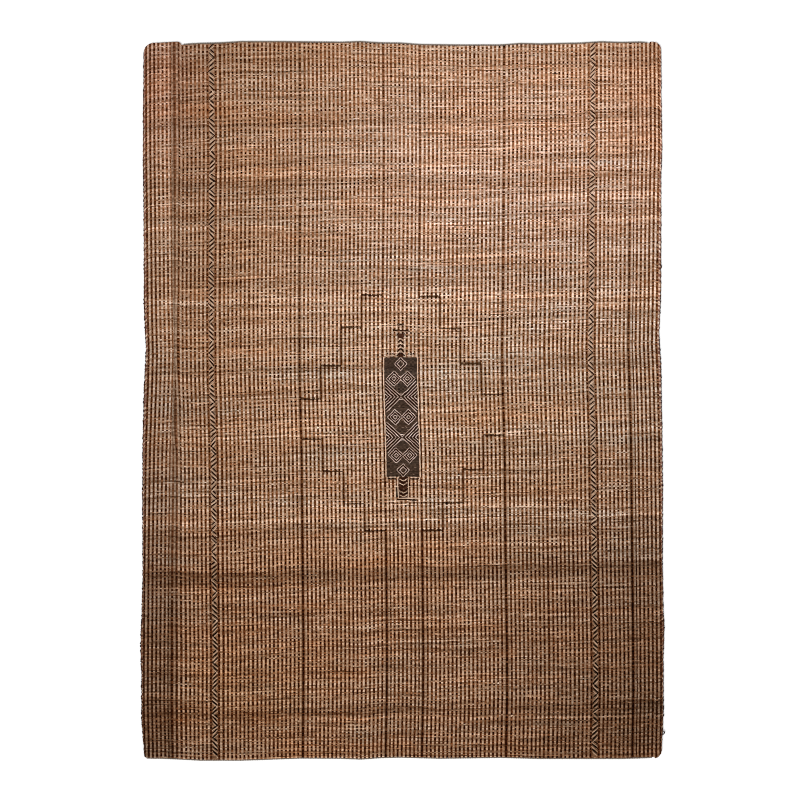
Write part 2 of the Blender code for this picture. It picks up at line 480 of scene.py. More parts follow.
rib_noise = drift(PICKS + 1, RIBS, 7.0, 0.4)
height = np.empty(place_x.shape)
for first, level, uneven in ((1, FLANK, FLANK_UNEVEN), (2, CREST, CREST_UNEVEN), (3, FLANK, FLANK_UNEVEN)):
    height[:, first::4] = level + uneven * rib_noise
height[:, 0::4] = PIT + BRIDGE_LIFT * at_points(face_bridge)[:, 0::4]
height[in_line] = LINE_PIT
dashed = np.minimum(1, 2 * at_points(in_dash.astype(float)))
height -= (height - DASH_LEVEL) * dashed * (height > DASH_LEVEL)
height[:, band_columns] = FLANK
beside_middle = np.abs(rib_of_column - MIDDLE_RIB - 0.5)[None, :] < PANEL_RIBS_IN
in_panel = (np.abs(place_y - PANEL_MIDDLE) < PANEL_HALF) & beside_middle
height[in_panel] = PANEL_LEVEL + PANEL_UNEVEN * noise(int(in_panel.sum()))
height[:, [0, COLUMNS]] = EDGE
height[[0, PICKS], :] = np.minimum(height[[0, PICKS], :], END_LEVEL)
height = np.clip(height, LOWEST, HIGHEST)
print("heights from", height.min().round(4), "to", height.max().round(4))

# %% [markdown]
# ## Tone of the dye
# Down the length runs the abrash, where the dye lots changed, with a few darker and paler streaks. The left
# of the far half and the right of the near half are deeper, and so are the borders and the fuzzy stripe
# beside the left one. Last come the slubs of the jute: one pick is a shade paler over a few ribs, and the
# next is darker.

# %% Abrash and streaks
ABRASH = table(
    "along tone",
    (-1.65, 0.46), (-1.45, 0.45), (-1.3, 0.47), (-1.1, 0.47), (-0.92, 0.47), (-0.8, 0.51), (-0.65, 0.59),
    (-0.5, 0.65), (-0.15, 0.71), (0.1, 0.73), (0.35, 0.84), (0.5, 0.88), (0.66, 0.8), (0.85, 0.93),
    (1.0, 0.91), (1.2, 0.87), (1.42, 0.92), (1.56, 0.83), (1.68, 0.78),
)
STREAKS = table(
    "along half_width change",
    (1.42, 0.012, -0.14), (1.31, 0.018, -0.14), (1.22, 0.022, 0.14), (1.04, 0.014, -0.22), (0.9, 0.02, -0.16),
    (0.55, 0.01, -0.1), (0.31, 0.012, -0.1), (0.15, 0.02, -0.2), (-0.16, 0.014, 0.14), (-0.21, 0.012, -0.22),
    (-0.48, 0.014, -0.16), (-0.56, 0.016, 0.06), (-0.62, 0.012, -0.18), (-0.82, 0.024, -0.32),
    (-0.89, 0.014, 0.22), (-1.02, 0.022, 0.18), (-1.47, 0.026, -0.24),
)
PICK_LOT, PICK_LOT_UNEVEN = 5, 0.08

row_tone = read_off(ABRASH, "tone", along_pick)
for streak in STREAKS:
    row_tone *= 1 + streak.change * np.exp(-(((along_pick - streak.along) / streak.half_width) ** 2))
lots = np.convolve(noise(PICKS), np.ones(PICK_LOT) / np.sqrt(PICK_LOT), mode="same")
row_tone *= np.exp(PICK_LOT_UNEVEN * lots + PICK_LOT_UNEVEN * noise(PICKS))
print("row tone", np.percentile(row_tone, (5, 50, 95)).round(2))

# %% Borders, stripe and slubs
NEAR_TO_FAR = (-1.5, 0.0, 1.0)
LEFT_DEPTH, LEFT_FADE_FROM, LEFT_FADE_END = (0.14, 0.27, 0.48), 9, (41, 51, 73)
RIGHT_DEPTH, RIGHT_FADE_FROM, RIGHT_FADE_RIBS = (0.51, 0.14, 0.04), 76, 43
BORDER_OUTER, BORDER_INNER, BORDER_RIBS = (0.43, 0.62, 0.63), (0.48, 0.76, 0.78), 6.9
STRIPES = {7: (0.3, 0.5, 0.44), 8: (0.55, 0.34, 0.4), 9: (0.76, 0.5, 0.47)}
BAND_TONE, DASH_TONE, TONE_CURVE = (0.62, 0.72, 0.84), 0.13, 1 / 1.2
# The outer columns of each selvedge carry painted shade: the outermost is darker all along, and all three are
# darker in the pits between its loops.
SELVEDGE_SHADES = table("columns pit_tone tone", ([0, -1], 0.1, 0.62), ([1, -2], 0.42, 1.0), ([2, -3], 0.42, 1.0))
EDGE_ANSWER, PIT_SHADE_TINT = (0.2, -0.75), (1.05, 0.8, 0.95)
SLUB_STRENGTH, SLUB_SKEW = (0.38, 0.31, 0.28), 0.06


def by_length(values):
    """A value for each pick, from its values near, in the middle and far."""
    return np.interp(along_pick, NEAR_TO_FAR, values)[:, None]


fade_end = by_length(LEFT_FADE_END)
side_tone = 1 - by_length(LEFT_DEPTH) * np.clip((fade_end - rib_of_face) / (fade_end - LEFT_FADE_FROM), 0, 1)
side_tone *= 1 - by_length(RIGHT_DEPTH) * np.clip((rib_of_face - RIGHT_FADE_FROM) / RIGHT_FADE_RIBS, 0, 1)
outer, inner = by_length(BORDER_OUTER), by_length(BORDER_INNER)
border = outer + (inner - outer) * rib_of_face / BORDER_RIBS
side_tone = np.where(rib_of_face < BORDER_RIBS, border, side_tone)
for rib, tones in STRIPES.items():
    side_tone = np.where(np.floor(rib_of_face) == rib, by_length(tones), side_tone)
for band in ZIGZAGS:
    side_tone = np.where(np.abs(rib_of_face - band.rib) < 1, side_tone * by_length(BAND_TONE), side_tone)
slubs = np.empty((PICKS, COLUMNS))
slubs[:, 1::4] = slubs[:, 2::4] = over_under(drift(PICKS, RIBS, 9.0, 0.68), RIB_ANSWER)
gap_faces(slubs, over_under(drift(PICKS, RIBS + 1, 4.0, 0.6), GAP_ANSWER))
smooth_tone = (row_tone[:, None] * side_tone) ** TONE_CURVE
face_tone = smooth_tone * np.exp(by_length(SLUB_STRENGTH) * slubs - SLUB_SKEW * slubs**2)
face_tone *= line_shade_tone
face_tone[in_dash] = DASH_TONE * smooth_tone[in_dash]
# Painted shade at the selvedges: dark pits between the loops, and a darker outermost column.
shaded_pit = over_under(noise(PICKS, 2), EDGE_ANSWER) < 0
for edge in SELVEDGE_SHADES:
    face_tone[:, edge.columns] *= np.where(shaded_pit, edge.pit_tone, edge.tone)
print("tone", np.percentile(face_tone, (5, 50, 95)).round(2))

# %% Hue
HUE_COOL, HUE_WARM = (0.97, 1.03, 1.06), (1.04, 0.965, 0.87)
WARM_SPREAD, WARM_KEPT = (0.35, 0.26, 0.26), 0.88
HUE_PATCHES = table(
    "across along half_width half_length green blue",
    (0.5, 0.25, 1.2, 0.62, 0.09, 0.16), (0.6, 1.0, 0.95, 0.7, 0.01, 0.09),
    (1.1, -1.2, 0.5, 0.6, 0.03, 0.07), (-0.72, -1.36, 0.38, 0.22, -0.05, -0.14),
    (-1.16, -0.8, 0.14, 1.2, 0.11, 0.26), (1.16, -0.5, 0.4, 1.2, 0.05, 0.11),
    (-0.55, -0.78, 0.8, 0.22, -0.04, -0.08), (-1.2, 1.55, 0.25, 0.45, -0.09, -0.04),
    (1.2, 1.5, 0.3, 0.4, -0.08, -0.13),
)

warm = drift(PICKS, COLUMNS, 50.0, 0.95)
for row in range(1, PICKS):
    warm[row] = WARM_KEPT * warm[row - 1] + np.sqrt(1 - WARM_KEPT**2) * warm[row]
warm = np.clip(0.5 + by_length(WARM_SPREAD) * warm, -1, 2)[..., None]
face_tint = (1 - warm) * np.array(HUE_COOL) + warm * np.array(HUE_WARM)
face_x = (place_x[:-1, :-1] + place_x[:-1, 1:]) / 2
for patch in HUE_PATCHES:
    across, along = (face_x - patch.across) / patch.half_width, (face_y - patch.along) / patch.half_length
    strength = np.exp(-(across**2 + along**2))
    face_tint[..., 1] *= 1 + patch.green * strength
    face_tint[..., 2] *= 1 + patch.blue * strength
# The painted shade in the selvedge pits gets its own tint.
for edge in SELVEDGE_SHADES:
    face_tint[:, edge.columns] *= np.where(shaded_pit[..., None], PIT_SHADE_TINT, 1.0)
print("tint of blue", np.percentile(face_tint[..., 2], (5, 95)).round(2))

# %% [markdown]
# ## The finishes
# Two node groups are shared. One gives the streaks and the fine relief of loose fibre. The other is the dye:
# jute that takes more of it gets darker and browner, because its green and blue fall off faster than its red.
# The jute weave sets how deep the dye is at each place: on a rib, in a gap, or where a pick bridges one.
# A gap is dark partly from its dark yarn and partly from painted shade.


# %% Node helpers
def wire(tree, kind, inputs, output=0, **settings):
    """One output of a new shader node with these settings and inputs."""
    node = tree.nodes.new("ShaderNode" + kind)
    for name, value in settings.items():
        setattr(node, name, value)
    set_inputs(node, inputs)
    return node.outputs[output]


def math(tree, operation, *values):
    return wire(tree, "Math", dict(enumerate(values)), operation=operation)


def times(tree, first, second):
    """Two vectors or two colours multiplied, part by part."""
    return wire(tree, "VectorMath", {0: first, 1: second}, operation="MULTIPLY")


def attribute(tree, name, output="Fac"):
    return wire(tree, "Attribute", {}, output, attribute_name=name)


def new_group(name, inputs, outputs):
    """An empty node group with its sockets, its inputs and its output node."""
    tree = bpy.data.node_groups.new(name, "ShaderNodeTree")
    for in_out, sockets in (("INPUT", inputs), ("OUTPUT", outputs)):
        for socket, kind in sockets.items():
            tree.interface.new_socket(socket, in_out=in_out, socket_type="NodeSocket" + kind)
    return tree, tree.nodes.new("NodeGroupInput").outputs, tree.nodes.new("NodeGroupOutput")


def screen_colour(red, green, blue):
    """The linear colour of a tone above black that is given as it shows on a screen, from 0 to 255."""
    return (*(float(((np.float64(part) / 255 + 0.055) / 1.055) ** 2.4) for part in (red, green, blue)), 1.0)


# %% Yarn fibre group
STRAND_GRAIN, LUMP_GRAIN = (1500, 260, 700), (190, 240, 200)


def make_fibre_group():
    sockets = {"Place": "Vector", "Unevenness": "Float"}, {"Tone": "Float", "Height": "Float"}
    tree, given, result = new_group("yarn_fibre", *sockets)
    fine = times(tree, given["Place"], STRAND_GRAIN)
    strands = wire(tree, "TexNoise", {"Vector": fine, "Scale": 1.0, "Detail": 3.0, "Roughness": 0.6})
    slow = times(tree, given["Place"], LUMP_GRAIN)
    lumps = wire(tree, "TexNoise", {"Vector": slow, "Scale": 1.0, "Detail": 2.0, "Roughness": 0.5})
    both = math(tree, "ADD", math(tree, "MULTIPLY", strands, 0.5), math(tree, "MULTIPLY", lumps, 0.5))
    centred = math(tree, "SUBTRACT", both, 0.5)
    tone = math(tree, "MULTIPLY_ADD", centred, given["Unevenness"], 1.0)
    set_inputs(result, {"Tone": tone, "Height": both})
    return tree


fibre_group = make_fibre_group()
print("group sockets:", [item.name for item in fibre_group.interface.items_tree])

# %% Dyed jute group
PALE_JUTE = screen_colour(244, 211, 186)
GREEN_FALL, BLUE_FALL, LEAST_LIGHT = 1.17, 1.36, 0.004


def make_dye_group():
    tree, given, result = new_group("dyed_jute", {"Depth": "Float", "Tint": "Color"}, {"Color": "Color"})
    light = math(tree, "MAXIMUM", given["Depth"], LEAST_LIGHT)
    falls = wire(tree, "CombineXYZ", {
        "X": light,
        "Y": math(tree, "POWER", light, GREEN_FALL),
        "Z": math(tree, "POWER", light, BLUE_FALL),
    })
    set_inputs(result, {"Color": times(tree, times(tree, falls, PALE_JUTE[:3]), given["Tint"])})
    return tree


dye_group = make_dye_group()
print("dye group nodes:", len(dye_group.nodes))

# %% Jute weave material
# The gaps are kept dark partly for their dark yarn and partly as painted shade down in the sunk gaps.
GAP_YARN_AND_SHADE, GAP_TINT = 0.042, (1.04, 0.48, 0.12, 1.0)
RAG_SCALE, RAGGEDNESS, RIB_EDGE = 420.0, 0.5, (0.28, 0.72)
PAINTED_PICK_SHADE, PICK_RELIEF = 0.16, 0.8
PANEL_DYE, PANEL_CONTRAST, PANEL_DROP = screen_colour(72, 54, 43), 1.3, -0.05


def finish_yarn(tree, colour, height, distance, roughness):
    """The colour and the relief of a yarn joined to its shader."""
    bump = wire(tree, "Bump", {"Strength": 0.6, "Distance": distance, "Height": height})
    set_inputs(tree.nodes["Principled BSDF"], {
        "Base Color": colour, "Normal": bump, "Roughness": roughness, "Specular IOR Level": 0.03,
    })


def make_weave_material():
    material = new_material("jute_weave_finish")
    tree = material.node_tree
    place = wire(tree, "TexCoord", {}, "Object")
    fibre = wire(tree, "Group", {"Place": place, "Unevenness": 1.1}, node_tree=fibre_group).node.outputs
    rags = wire(tree, "TexNoise", {"Vector": place, "Scale": RAG_SCALE, "Detail": 1.0})
    ragged = math(tree, "SUBTRACT", rags, 0.5)
    edge = math(tree, "MULTIPLY_ADD", ragged, RAGGEDNESS, attribute(tree, "cover"))
    edges = {"Value": edge, "From Min": RIB_EDGE[0], "From Max": RIB_EDGE[1]}
    on_rib = wire(tree, "MapRange", edges, interpolation_type="SMOOTHSTEP")
    pale = math(tree, "MAXIMUM", on_rib, attribute(tree, "bridge"))
    weave = wire(tree, "SeparateXYZ", {0: wire(tree, "UVMap", {}, uv_map="Weave")}, "Y")
    # Painted shade in the hollows between picks: each pick is darker towards its two edges.
    pick = math(tree, "ABSOLUTE", math(tree, "SINE", math(tree, "MULTIPLY", weave, np.pi)))
    shade = math(tree, "MULTIPLY_ADD", pick, PAINTED_PICK_SHADE, 1 - PAINTED_PICK_SHADE)
    tone = math(tree, "MULTIPLY", math(tree, "MULTIPLY", attribute(tree, "tone"), fibre["Tone"]), shade)
    # Off the ribs and bridges the dye deepens to the gap darkness: dark yarn and painted shade.
    depth = math(tree, "MULTIPLY", tone, math(tree, "MULTIPLY_ADD", pale, 1 - GAP_YARN_AND_SHADE, GAP_YARN_AND_SHADE))
    hue = wire(tree, "Mix", {0: pale, 6: GAP_TINT, 7: WHITE}, 2, data_type="RGBA")
    tint = times(tree, hue, attribute(tree, "tint", "Color"))
    dyed = wire(tree, "Group", {"Depth": depth, "Tint": tint}, node_tree=dye_group)
    panel_tone = math(tree, "MULTIPLY_ADD", tone, PANEL_CONTRAST, PANEL_DROP)
    panel_dye = wire(tree, "VectorMath", {0: PANEL_DYE[:3], "Scale": panel_tone}, operation="SCALE")
    panel = times(tree, panel_dye, attribute(tree, "tint", "Color"))
    colour = wire(tree, "Mix", {0: attribute(tree, "ground"), 6: dyed, 7: panel}, 2, data_type="RGBA")
    relief = math(tree, "ADD", fibre["Height"], math(tree, "MULTIPLY", pick, PICK_RELIEF))
    finish_yarn(tree, colour, relief, 0.0012, 0.92)
    return material


weave_material = make_weave_material()
print("weave material nodes:", len(weave_material.node_tree.nodes))

# %% [markdown]
# ## The lengths of cloth
# One sheet this fine would be too heavy a mesh, so the cloth is seven lengths that meet in gaps between ribs,
# with the same points on both sides of each join. Each starts as a flat grid, gets its rim pulled down and
# closed below, and then every grid point moves to its weave point.

# %% Lengths
LENGTHS = table(
    "name first last",
    ("left_border", 0, 9), ("left_field", 9, 39), ("middle_left", 39, 59), ("panel", 59, 68),
    ("middle_right", 68, 88), ("right_field", 88, 118), ("right_border", 118, 126),
)
RIM_ROUNDING = (0.0, 0.0008, -0.0008)
RIM_HEIGHT = (1.0, 0.45, 0.0)


def closed_grid(columns, rows):
    """A flat grid of unit size whose rim is pulled down twice and closed by one face."""
    form = bmesh.new()
    bmesh.ops.create_grid(form, x_segments=columns, y_segments=rows, size=0.5)
    for _ in range(2):
        rim = [edge for edge in form.edges if edge.is_boundary]
        pulled = bmesh.ops.extrude_edge_only(form, edges=rim)["geom"]
        lower = [part for part in pulled if isinstance(part, bmesh.types.BMVert)]
        bmesh.ops.translate(form, verts=lower, vec=(0, 0, -1))
    bmesh.ops.contextual_create(form, geom=[edge for edge in form.edges if edge.is_boundary])
    bmesh.ops.recalc_face_normals(form, faces=form.faces)
    return form


def read(items, what, width, kind=np.float32):
    """One property of many mesh items, as rows of numbers."""
    values = np.empty(width * len(items), dtype=kind)
    items.foreach_get(what, values)
    return values.reshape(-1, width) if width > 1 else values


def give(mesh, name, domain, values):
    """A named attribute of the mesh: one number or one colour for each item."""
    values = np.asarray(values, dtype=np.float32)
    if values.ndim == 1:
        mesh.attributes.new(name, "FLOAT", domain).data.foreach_set("value", values)
    else:
        coloured = np.column_stack([values, np.ones(len(values), dtype=np.float32)])
        mesh.attributes.new(name, "FLOAT_COLOR", domain).data.foreach_set("color", coloured.ravel())


def make_length(length):
    """One length of the cloth, from the gap at its first rib to the gap at its last."""
    first, columns = 4 * length.first, 4 * (length.last - length.first)
    mesh = mesh_of(closed_grid(columns, PICKS), "jute_" + length.name)
    middle = read(mesh.polygons, "center", 3)
    face_column = first + np.clip((middle[:, 0] + 0.5) * columns, 0, columns - 1).astype(int)
    face_row = np.clip((middle[:, 1] + 0.5) * PICKS, 0, PICKS - 1).astype(int)
    for name, values in (("tone", face_tone), ("tint", face_tint), ("bridge", face_bridge)):
        give(mesh, name, "FACE", values[face_row, face_column])
    points = read(mesh.vertices, "co", 3)
    column = first + np.rint((points[:, 0] + 0.5) * columns).astype(int)
    row = np.rint((points[:, 1] + 0.5) * PICKS).astype(int)
    ring = np.rint(-points[:, 2]).astype(int)
    side = (column == COLUMNS).astype(int) - (column == 0)
    end = (row == PICKS).astype(int) - (row == 0)
    roundness = np.array(RIM_ROUNDING)[ring]
    points[:, 0] = place_x[row, column] + side * roundness
    points[:, 1] = place_y[row, column] + end * roundness
    points[:, 2] = height[row, column] * np.array(RIM_HEIGHT)[ring]
    mesh.vertices.foreach_set("co", points.ravel())
    for name, values in (("cover", cover), ("ground", in_panel)):
        give(mesh, name, "POINT", values[row, column])
    corner = read(mesh.loops, "vertex_index", 1, np.int32)
    weave = np.column_stack([column[corner] / 4, row[corner]]).astype(np.float32)
    mesh.uv_layers.new(name="Weave").data.foreach_set("uv", weave.ravel())
    mesh.materials.append(weave_material)
    mesh.shade_smooth()
    mesh.update()
    return make_object("jute_" + length.name, mesh)


lengths = {length.name: make_length(length) for length in LENGTHS}
for name, piece in lengths.items():
    piece.data.calc_loop_triangles()
    print(name, "triangles", len(piece.data.loop_triangles))

# %% [markdown]
# ## Yarns laid on the cloth
# The lozenges of the panel are pale yarns floated over its ground with dark ones between them, which stand
# partly for dark outline yarn and partly for painted shade beside the pale floats, and the two zigzag bands
# are short slanting floats. Each is a real yarn: a bevelled curve, made a mesh and pressed a little flat.

# %% Yarn helpers
FLOAT_CELL, FLOAT_CELLS, FLOAT_UNEVEN, PALEST_FLOAT = 0.0052, 64, 0.4, 1.15
RADIUS_UNEVEN, TAPER_RADIUS = 0.12, 0.55
float_tones = np.minimum(PALEST_FLOAT, np.exp(FLOAT_UNEVEN * noise(FLOAT_CELLS, FLOAT_CELLS)))


def tone_at(across, along):
    """The smooth tone of the cloth below a place."""
    row = np.clip((along / LENGTH + 0.5) * PICKS, 0, PICKS - 1).astype(int)
    column = np.clip(np.searchsorted(column_x, across), 1, COLUMNS) - 1
    return smooth_tone[row, column]


def lay_yarns(name, paths, radius, material, sides=1, flatness=0.75, closed=False, taper=False, even=False,
              lift=1.0, shade=1.0):
    """Yarns along paths of points, as one mesh. A lift below one keeps them paler than deep dyed cloth."""
    curve = bpy.data.curves.new(name, "CURVE")
    curve.dimensions = "3D"
    curve.bevel_depth = radius
    curve.bevel_resolution = sides
    curve.use_fill_caps = True
    for path in paths:
        spline = curve.splines.new("POLY")
        spline.points.add(len(path) - 1)
        spline.use_cyclic_u = closed
        for index, (point, (x, y, z)) in enumerate(zip(spline.points, path, strict=True)):
            point.co = (x, y, z / flatness, 1.0)
            point.radius = 1 + RADIUS_UNEVEN * random.standard_normal()
            if taper and index in (0, len(path) - 1):
                point.radius = TAPER_RADIUS
    thing = bpy.data.objects.new(name, curve)
    mesh = bpy.data.meshes.new_from_object(thing)
    bpy.data.objects.remove(thing)
    points = read(mesh.vertices, "co", 3)
    points[:, 2] *= flatness
    mesh.vertices.foreach_set("co", points.ravel())
    across_cell, along_cell = np.floor(points[:, :2] / FLOAT_CELL).astype(int).T % FLOAT_CELLS
    tone = shade * tone_at(points[:, 0], points[:, 1]) ** lift * float_tones[across_cell, along_cell]
    give(mesh, "tone", "POINT", np.ones(len(points)) if even else tone)
    mesh.materials.clear()
    mesh.materials.append(material)
    mesh.shade_smooth()
    mesh.name = name
    return make_object(name, mesh)


# %% Yarn materials
def make_yarn_material(name, colour, unevenness, by_tone=True):
    """A yarn of the dyed jute with a tint, or one of its own colour."""
    material = new_material(name)
    tree = material.node_tree
    place = wire(tree, "TexCoord", {}, "Object")
    inputs = {"Place": place, "Unevenness": unevenness}
    fibre = wire(tree, "Group", inputs, node_tree=fibre_group).node.outputs
    if by_tone:
        depth = math(tree, "MULTIPLY", fibre["Tone"], attribute(tree, "tone"))
        final = wire(tree, "Group", {"Depth": depth, "Tint": colour}, node_tree=dye_group)
    else:
        final = wire(tree, "VectorMath", {0: colour[:3], "Scale": fibre["Tone"]}, operation="SCALE")
    finish_yarn(tree, final, fibre["Height"], 0.001, 0.9)
    return material


pale_yarn, band_yarn, dark_yarn, brown_yarn = (
    make_yarn_material(name + "_float_yarn", tint, 0.9)
    for name, tint in (("pale", (0.98, 1.06, 1.24, 1.0)), ("warm", (1.02, 1.02, 1.0, 1.0)),
                       ("dark", (0.036, 0.016, 0.008, 1.0)), ("brown", (0.095, 0.05, 0.034, 1.0)))
)
cotton = make_yarn_material("taupe_cotton_finish", screen_colour(132, 120, 108), 0.8, by_tone=False)
print("yarn materials:", pale_yarn.name, band_yarn.name, dark_yarn.name, brown_yarn.name, cotton.name)

# %% Panel lozenges
FLOAT_RADIUS, DARK_RADIUS, FLOAT_LEVEL = 0.0018, 0.0025, 0.0068
PAIR_STEP, CROSS_STEP, SINGLE_STEP = 0.18, 0.095, 0.249
PAIR_OFFSET = 0.0314
PAIR_SIZES, PAIR_DARK = (0.01, 0.0232, 0.0362), (0.0168, 0.0298)
SINGLE_SIZES, SINGLE_DARK = ((0.0165, 0.017), (0.029, 0.0317)), ((0.023, 0.0245),)
CROSS_PITCH, CROSS_SLOPE, CROSS_REACH, CROSS_LINES, CROSS_FIRST = 0.0158, 0.97, 0.0762, 4, 0.0135
ROOF_DROP, ROOF_REACH = 0.003, 0.072
KNOT_DROP, KNOT_REACH = 0.0125, 0.0105
PATH_SHAKE = 0.0009


def panel_point(across, along, level):
    """A point on the panel, which sways with the middle rib."""
    row = np.abs(place_y[:, middle_column] - (PANEL_MIDDLE + along)).argmin()
    middle = column_x[middle_column] + sway_at((row_share[row] - 0.5) * LENGTH)[middle_column]
    return middle + across, PANEL_MIDDLE + along, level


def panel_path(corners, closed=False, parts=5, level=FLOAT_LEVEL):
    """A hand-laid yarn from corner to corner."""
    path = []
    for (a0, b0), (a1, b1) in zip(corners, corners[1:] + corners[:1] if closed else corners[1:]):
        for part in range(parts):
            share = part / parts
            path.append((a0 + share * (a1 - a0), b0 + share * (b1 - b0)))
    if not closed:
        path.append(corners[-1])
    shaken = [[place + PATH_SHAKE * random.standard_normal() for place in point] for point in path]
    return [panel_point(across, along, level) for across, along in shaken]


def lozenge(across, along, half_across, half_along):
    return panel_path([(across, along + half_along), (across + half_across, along),
                       (across, along - half_along), (across - half_across, along)], closed=True)


def lozenges(pair_sizes, single_sizes):
    """Concentric rings: three pairs side by side, and one lozenge at each end."""
    pairs = [lozenge(side * PAIR_OFFSET, place * PAIR_STEP, size, size)
             for place, side, size in product((-1, 0, 1), BOTH, pair_sizes)]
    return pairs + [lozenge(0, place * SINGLE_STEP, *size) for place, size in product(BOTH, single_sizes)]


def crosses(first, lines):
    """Chevrons that open to both sides of the two crosses."""
    found = []
    for place, side, line in product(BOTH, BOTH, range(lines)):
        apex, middle = first + CROSS_PITCH * line, place * CROSS_STEP
        rise = CROSS_SLOPE * (CROSS_REACH - apex)
        found.append(panel_path([(side * CROSS_REACH, middle + rise), (side * apex, middle),
                                 (side * CROSS_REACH, middle - rise)]))
    return found


roofs = []
for place, side in product(BOTH, BOTH):
    roof = place * CROSS_STEP + side * ROOF_DROP
    eaves = roof + side * CROSS_SLOPE * ROOF_REACH
    roofs.append(panel_path([(-ROOF_REACH, eaves), (0, roof), (ROOF_REACH, eaves)]))
    knot = place * CROSS_STEP + side * KNOT_DROP
    roofs.append(panel_path([(-KNOT_REACH, knot), (KNOT_REACH, knot)], parts=2))
on_panel = [
    lay_yarns("panel_lozenge_yarns", lozenges(PAIR_SIZES, SINGLE_SIZES), FLOAT_RADIUS, pale_yarn,
              closed=True),
    # The dark rings and chevrons between the pale ones are partly dark outline yarn and partly painted shade
    # beside the raised pale floats.
    lay_yarns("panel_dark_lozenges", lozenges(PAIR_DARK, SINGLE_DARK), DARK_RADIUS, dark_yarn, closed=True),
    lay_yarns("panel_cross_yarns", crosses(CROSS_FIRST, CROSS_LINES) + roofs, FLOAT_RADIUS, pale_yarn),
    lay_yarns("panel_dark_crosses", crosses(CROSS_FIRST - CROSS_PITCH / 2, CROSS_LINES + 1), DARK_RADIUS,
              dark_yarn),
]
print("panel yarn vertices:", sum(len(piece.data.vertices) for piece in on_panel))

# %% Flecks and sides of the panel
FLECKS, FLECK_HALF, FLECK_RADIUS, FLECK_SHADE = 80, 0.0055, 0.0016, 0.36
FLECK_REACH, FLECK_MARGIN, FLECK_LEAN = 0.066, 0.01, 0.003
SIDE_YARN, SIDE_RADIUS, TIP_LEVEL, TIP_LIFT = 0.08, 0.0024, 0.0086, 0.5

fleck_paths = []
for _ in range(FLECKS):
    across = random.uniform(-FLECK_REACH, FLECK_REACH)
    along = random.uniform(-PANEL_HALF + FLECK_MARGIN, PANEL_HALF - FLECK_MARGIN)
    rise = random.uniform(-FLECK_LEAN, FLECK_LEAN)
    ends = [(across - FLECK_HALF, along - rise), (across + FLECK_HALF, along + rise)]
    fleck_paths.append(panel_path(ends, parts=2))
side_paths = [panel_path([(side * SIDE_YARN, end * PANEL_HALF) for end in BOTH], parts=40, level=TIP_LEVEL)
              for side in BOTH]
panel_sides = lay_yarns("panel_side_yarns", side_paths, SIDE_RADIUS, band_yarn, lift=TIP_LIFT)
panel_flecks = lay_yarns("panel_flecks", fleck_paths, FLECK_RADIUS, pale_yarn, taper=True, shade=FLECK_SHADE)
on_panel += [panel_flecks, panel_sides]
print("flecks:", len(fleck_paths))

# %% [markdown]
# The panel runs out in a tip at each end: a stack of chevrons, dark and pale in turn. Those of the far tip
# grow towards the panel, and it ends in a brown block, a cross bar and a small fork. The near tip stands in a
# slot between two pale yarns and is closed by a pale and a dark line.

# %% Chevrons, bars and blocks
TIP_DARK_RADIUS, TIP_PALE_RADIUS, STROKE_LEVEL = 0.003, 0.0021, TIP_LEVEL + 0.0006
BROWN_RADIUS, BROWN_FLATNESS, BROWN_PITCH = 0.0042, 0.3, 0.007
dark, pale, brown = [], [], []  # the strokes of both tips, by their yarn


def chevron(apex, half, slope):
    """Two short yarns that meet at the apex and run down on both sides, or up where the slope is negative."""
    return [(-half, apex - slope * half), (0, apex), (half, apex - slope * half)]


def bar(along, start, stop, drop=0.0):
    """One yarn across, which may drop towards its end."""
    return [(start, along), (stop, along - drop)]


def both_sides(along, start, stop):
    return [bar(along, side * start, side * stop) for side in BOTH]


def brown_block(along, height, half):
    """Short brown yarns side by side, as high and as wide as the block."""
    rows = max(2, round(height / BROWN_PITCH))
    return [bar(along + BROWN_PITCH * (row - (rows - 1) / 2), -half, half) for row in range(rows)]


# %% Far tip
FAR_PITCH, FAR_COUNT, FAR_SLOPE = 0.0195, 4, 0.8
FAR_HALF, FAR_NARROWER = 0.0185, 0.0022
BEAD_FROM, BEAD_STEP, BEADS, BEAD_HALF = 0.034, 0.0125, 3, 0.004
FOOT_UP, DARK_BEAD_UP = 0.006, 0.015
CROSS_BAR_HALF, BAR_END, BAR_BEADS = 0.036, 0.028, (-0.022, 0.0, 0.022)
FORK_HALF, FORK_SLOPE = 0.015, -0.25

far = PANEL_HALF
block_up, bar_up, fork_up = far + 0.098, far + 0.124, far + 0.151
for index in range(FAR_COUNT):
    apex = far + FAR_PITCH * (index + 1)
    half = FAR_HALF - FAR_NARROWER * index
    dark.append(chevron(apex, half, FAR_SLOPE))
    pale.append(chevron(apex + FAR_PITCH / 2, half, FAR_SLOPE))
for bead in range(BEADS):
    across = BEAD_FROM + BEAD_STEP * bead
    dark += both_sides(far + DARK_BEAD_UP, across, across + BEAD_HALF)
    pale += both_sides(far + FOOT_UP, across - 0.006, across + BEAD_HALF)
brown += brown_block(far + FOOT_UP, 0.012, 0.01) + brown_block(block_up, 0.018, 0.014)
dark += both_sides(block_up + 0.01, 0.013, 0.018)
dark.append(bar(bar_up, -CROSS_BAR_HALF, CROSS_BAR_HALF))
dark += both_sides(bar_up + 0.002, BAR_END, CROSS_BAR_HALF)
pale += [bar(bar_up - 0.007, across - 0.005, across + 0.005) for across in BAR_BEADS]
dark.append(chevron(fork_up, FORK_HALF, FORK_SLOPE))
dark += both_sides(fork_up - 0.012, 0.008, 0.011)
pale.append(bar(fork_up - 0.01, -0.006, 0.004))
print("far tip strokes:", len(dark) + len(pale) + len(brown))

# %% Near tip
NEAR_PITCH, NEAR_COUNT, NEAR_SLOPE, NEAR_HALF = 0.0187, 5, 0.55, 0.0185
BLANK_CHEVRON = 2
SLOT_HALF, SLOT_END, LINE_DROP = 0.024, 0.098, 0.0075
FOOT_DROP, FOOT_FROM, PALE_FOOT_TO, DARK_FOOT_TO = 0.001, 0.034, 0.066, 0.074

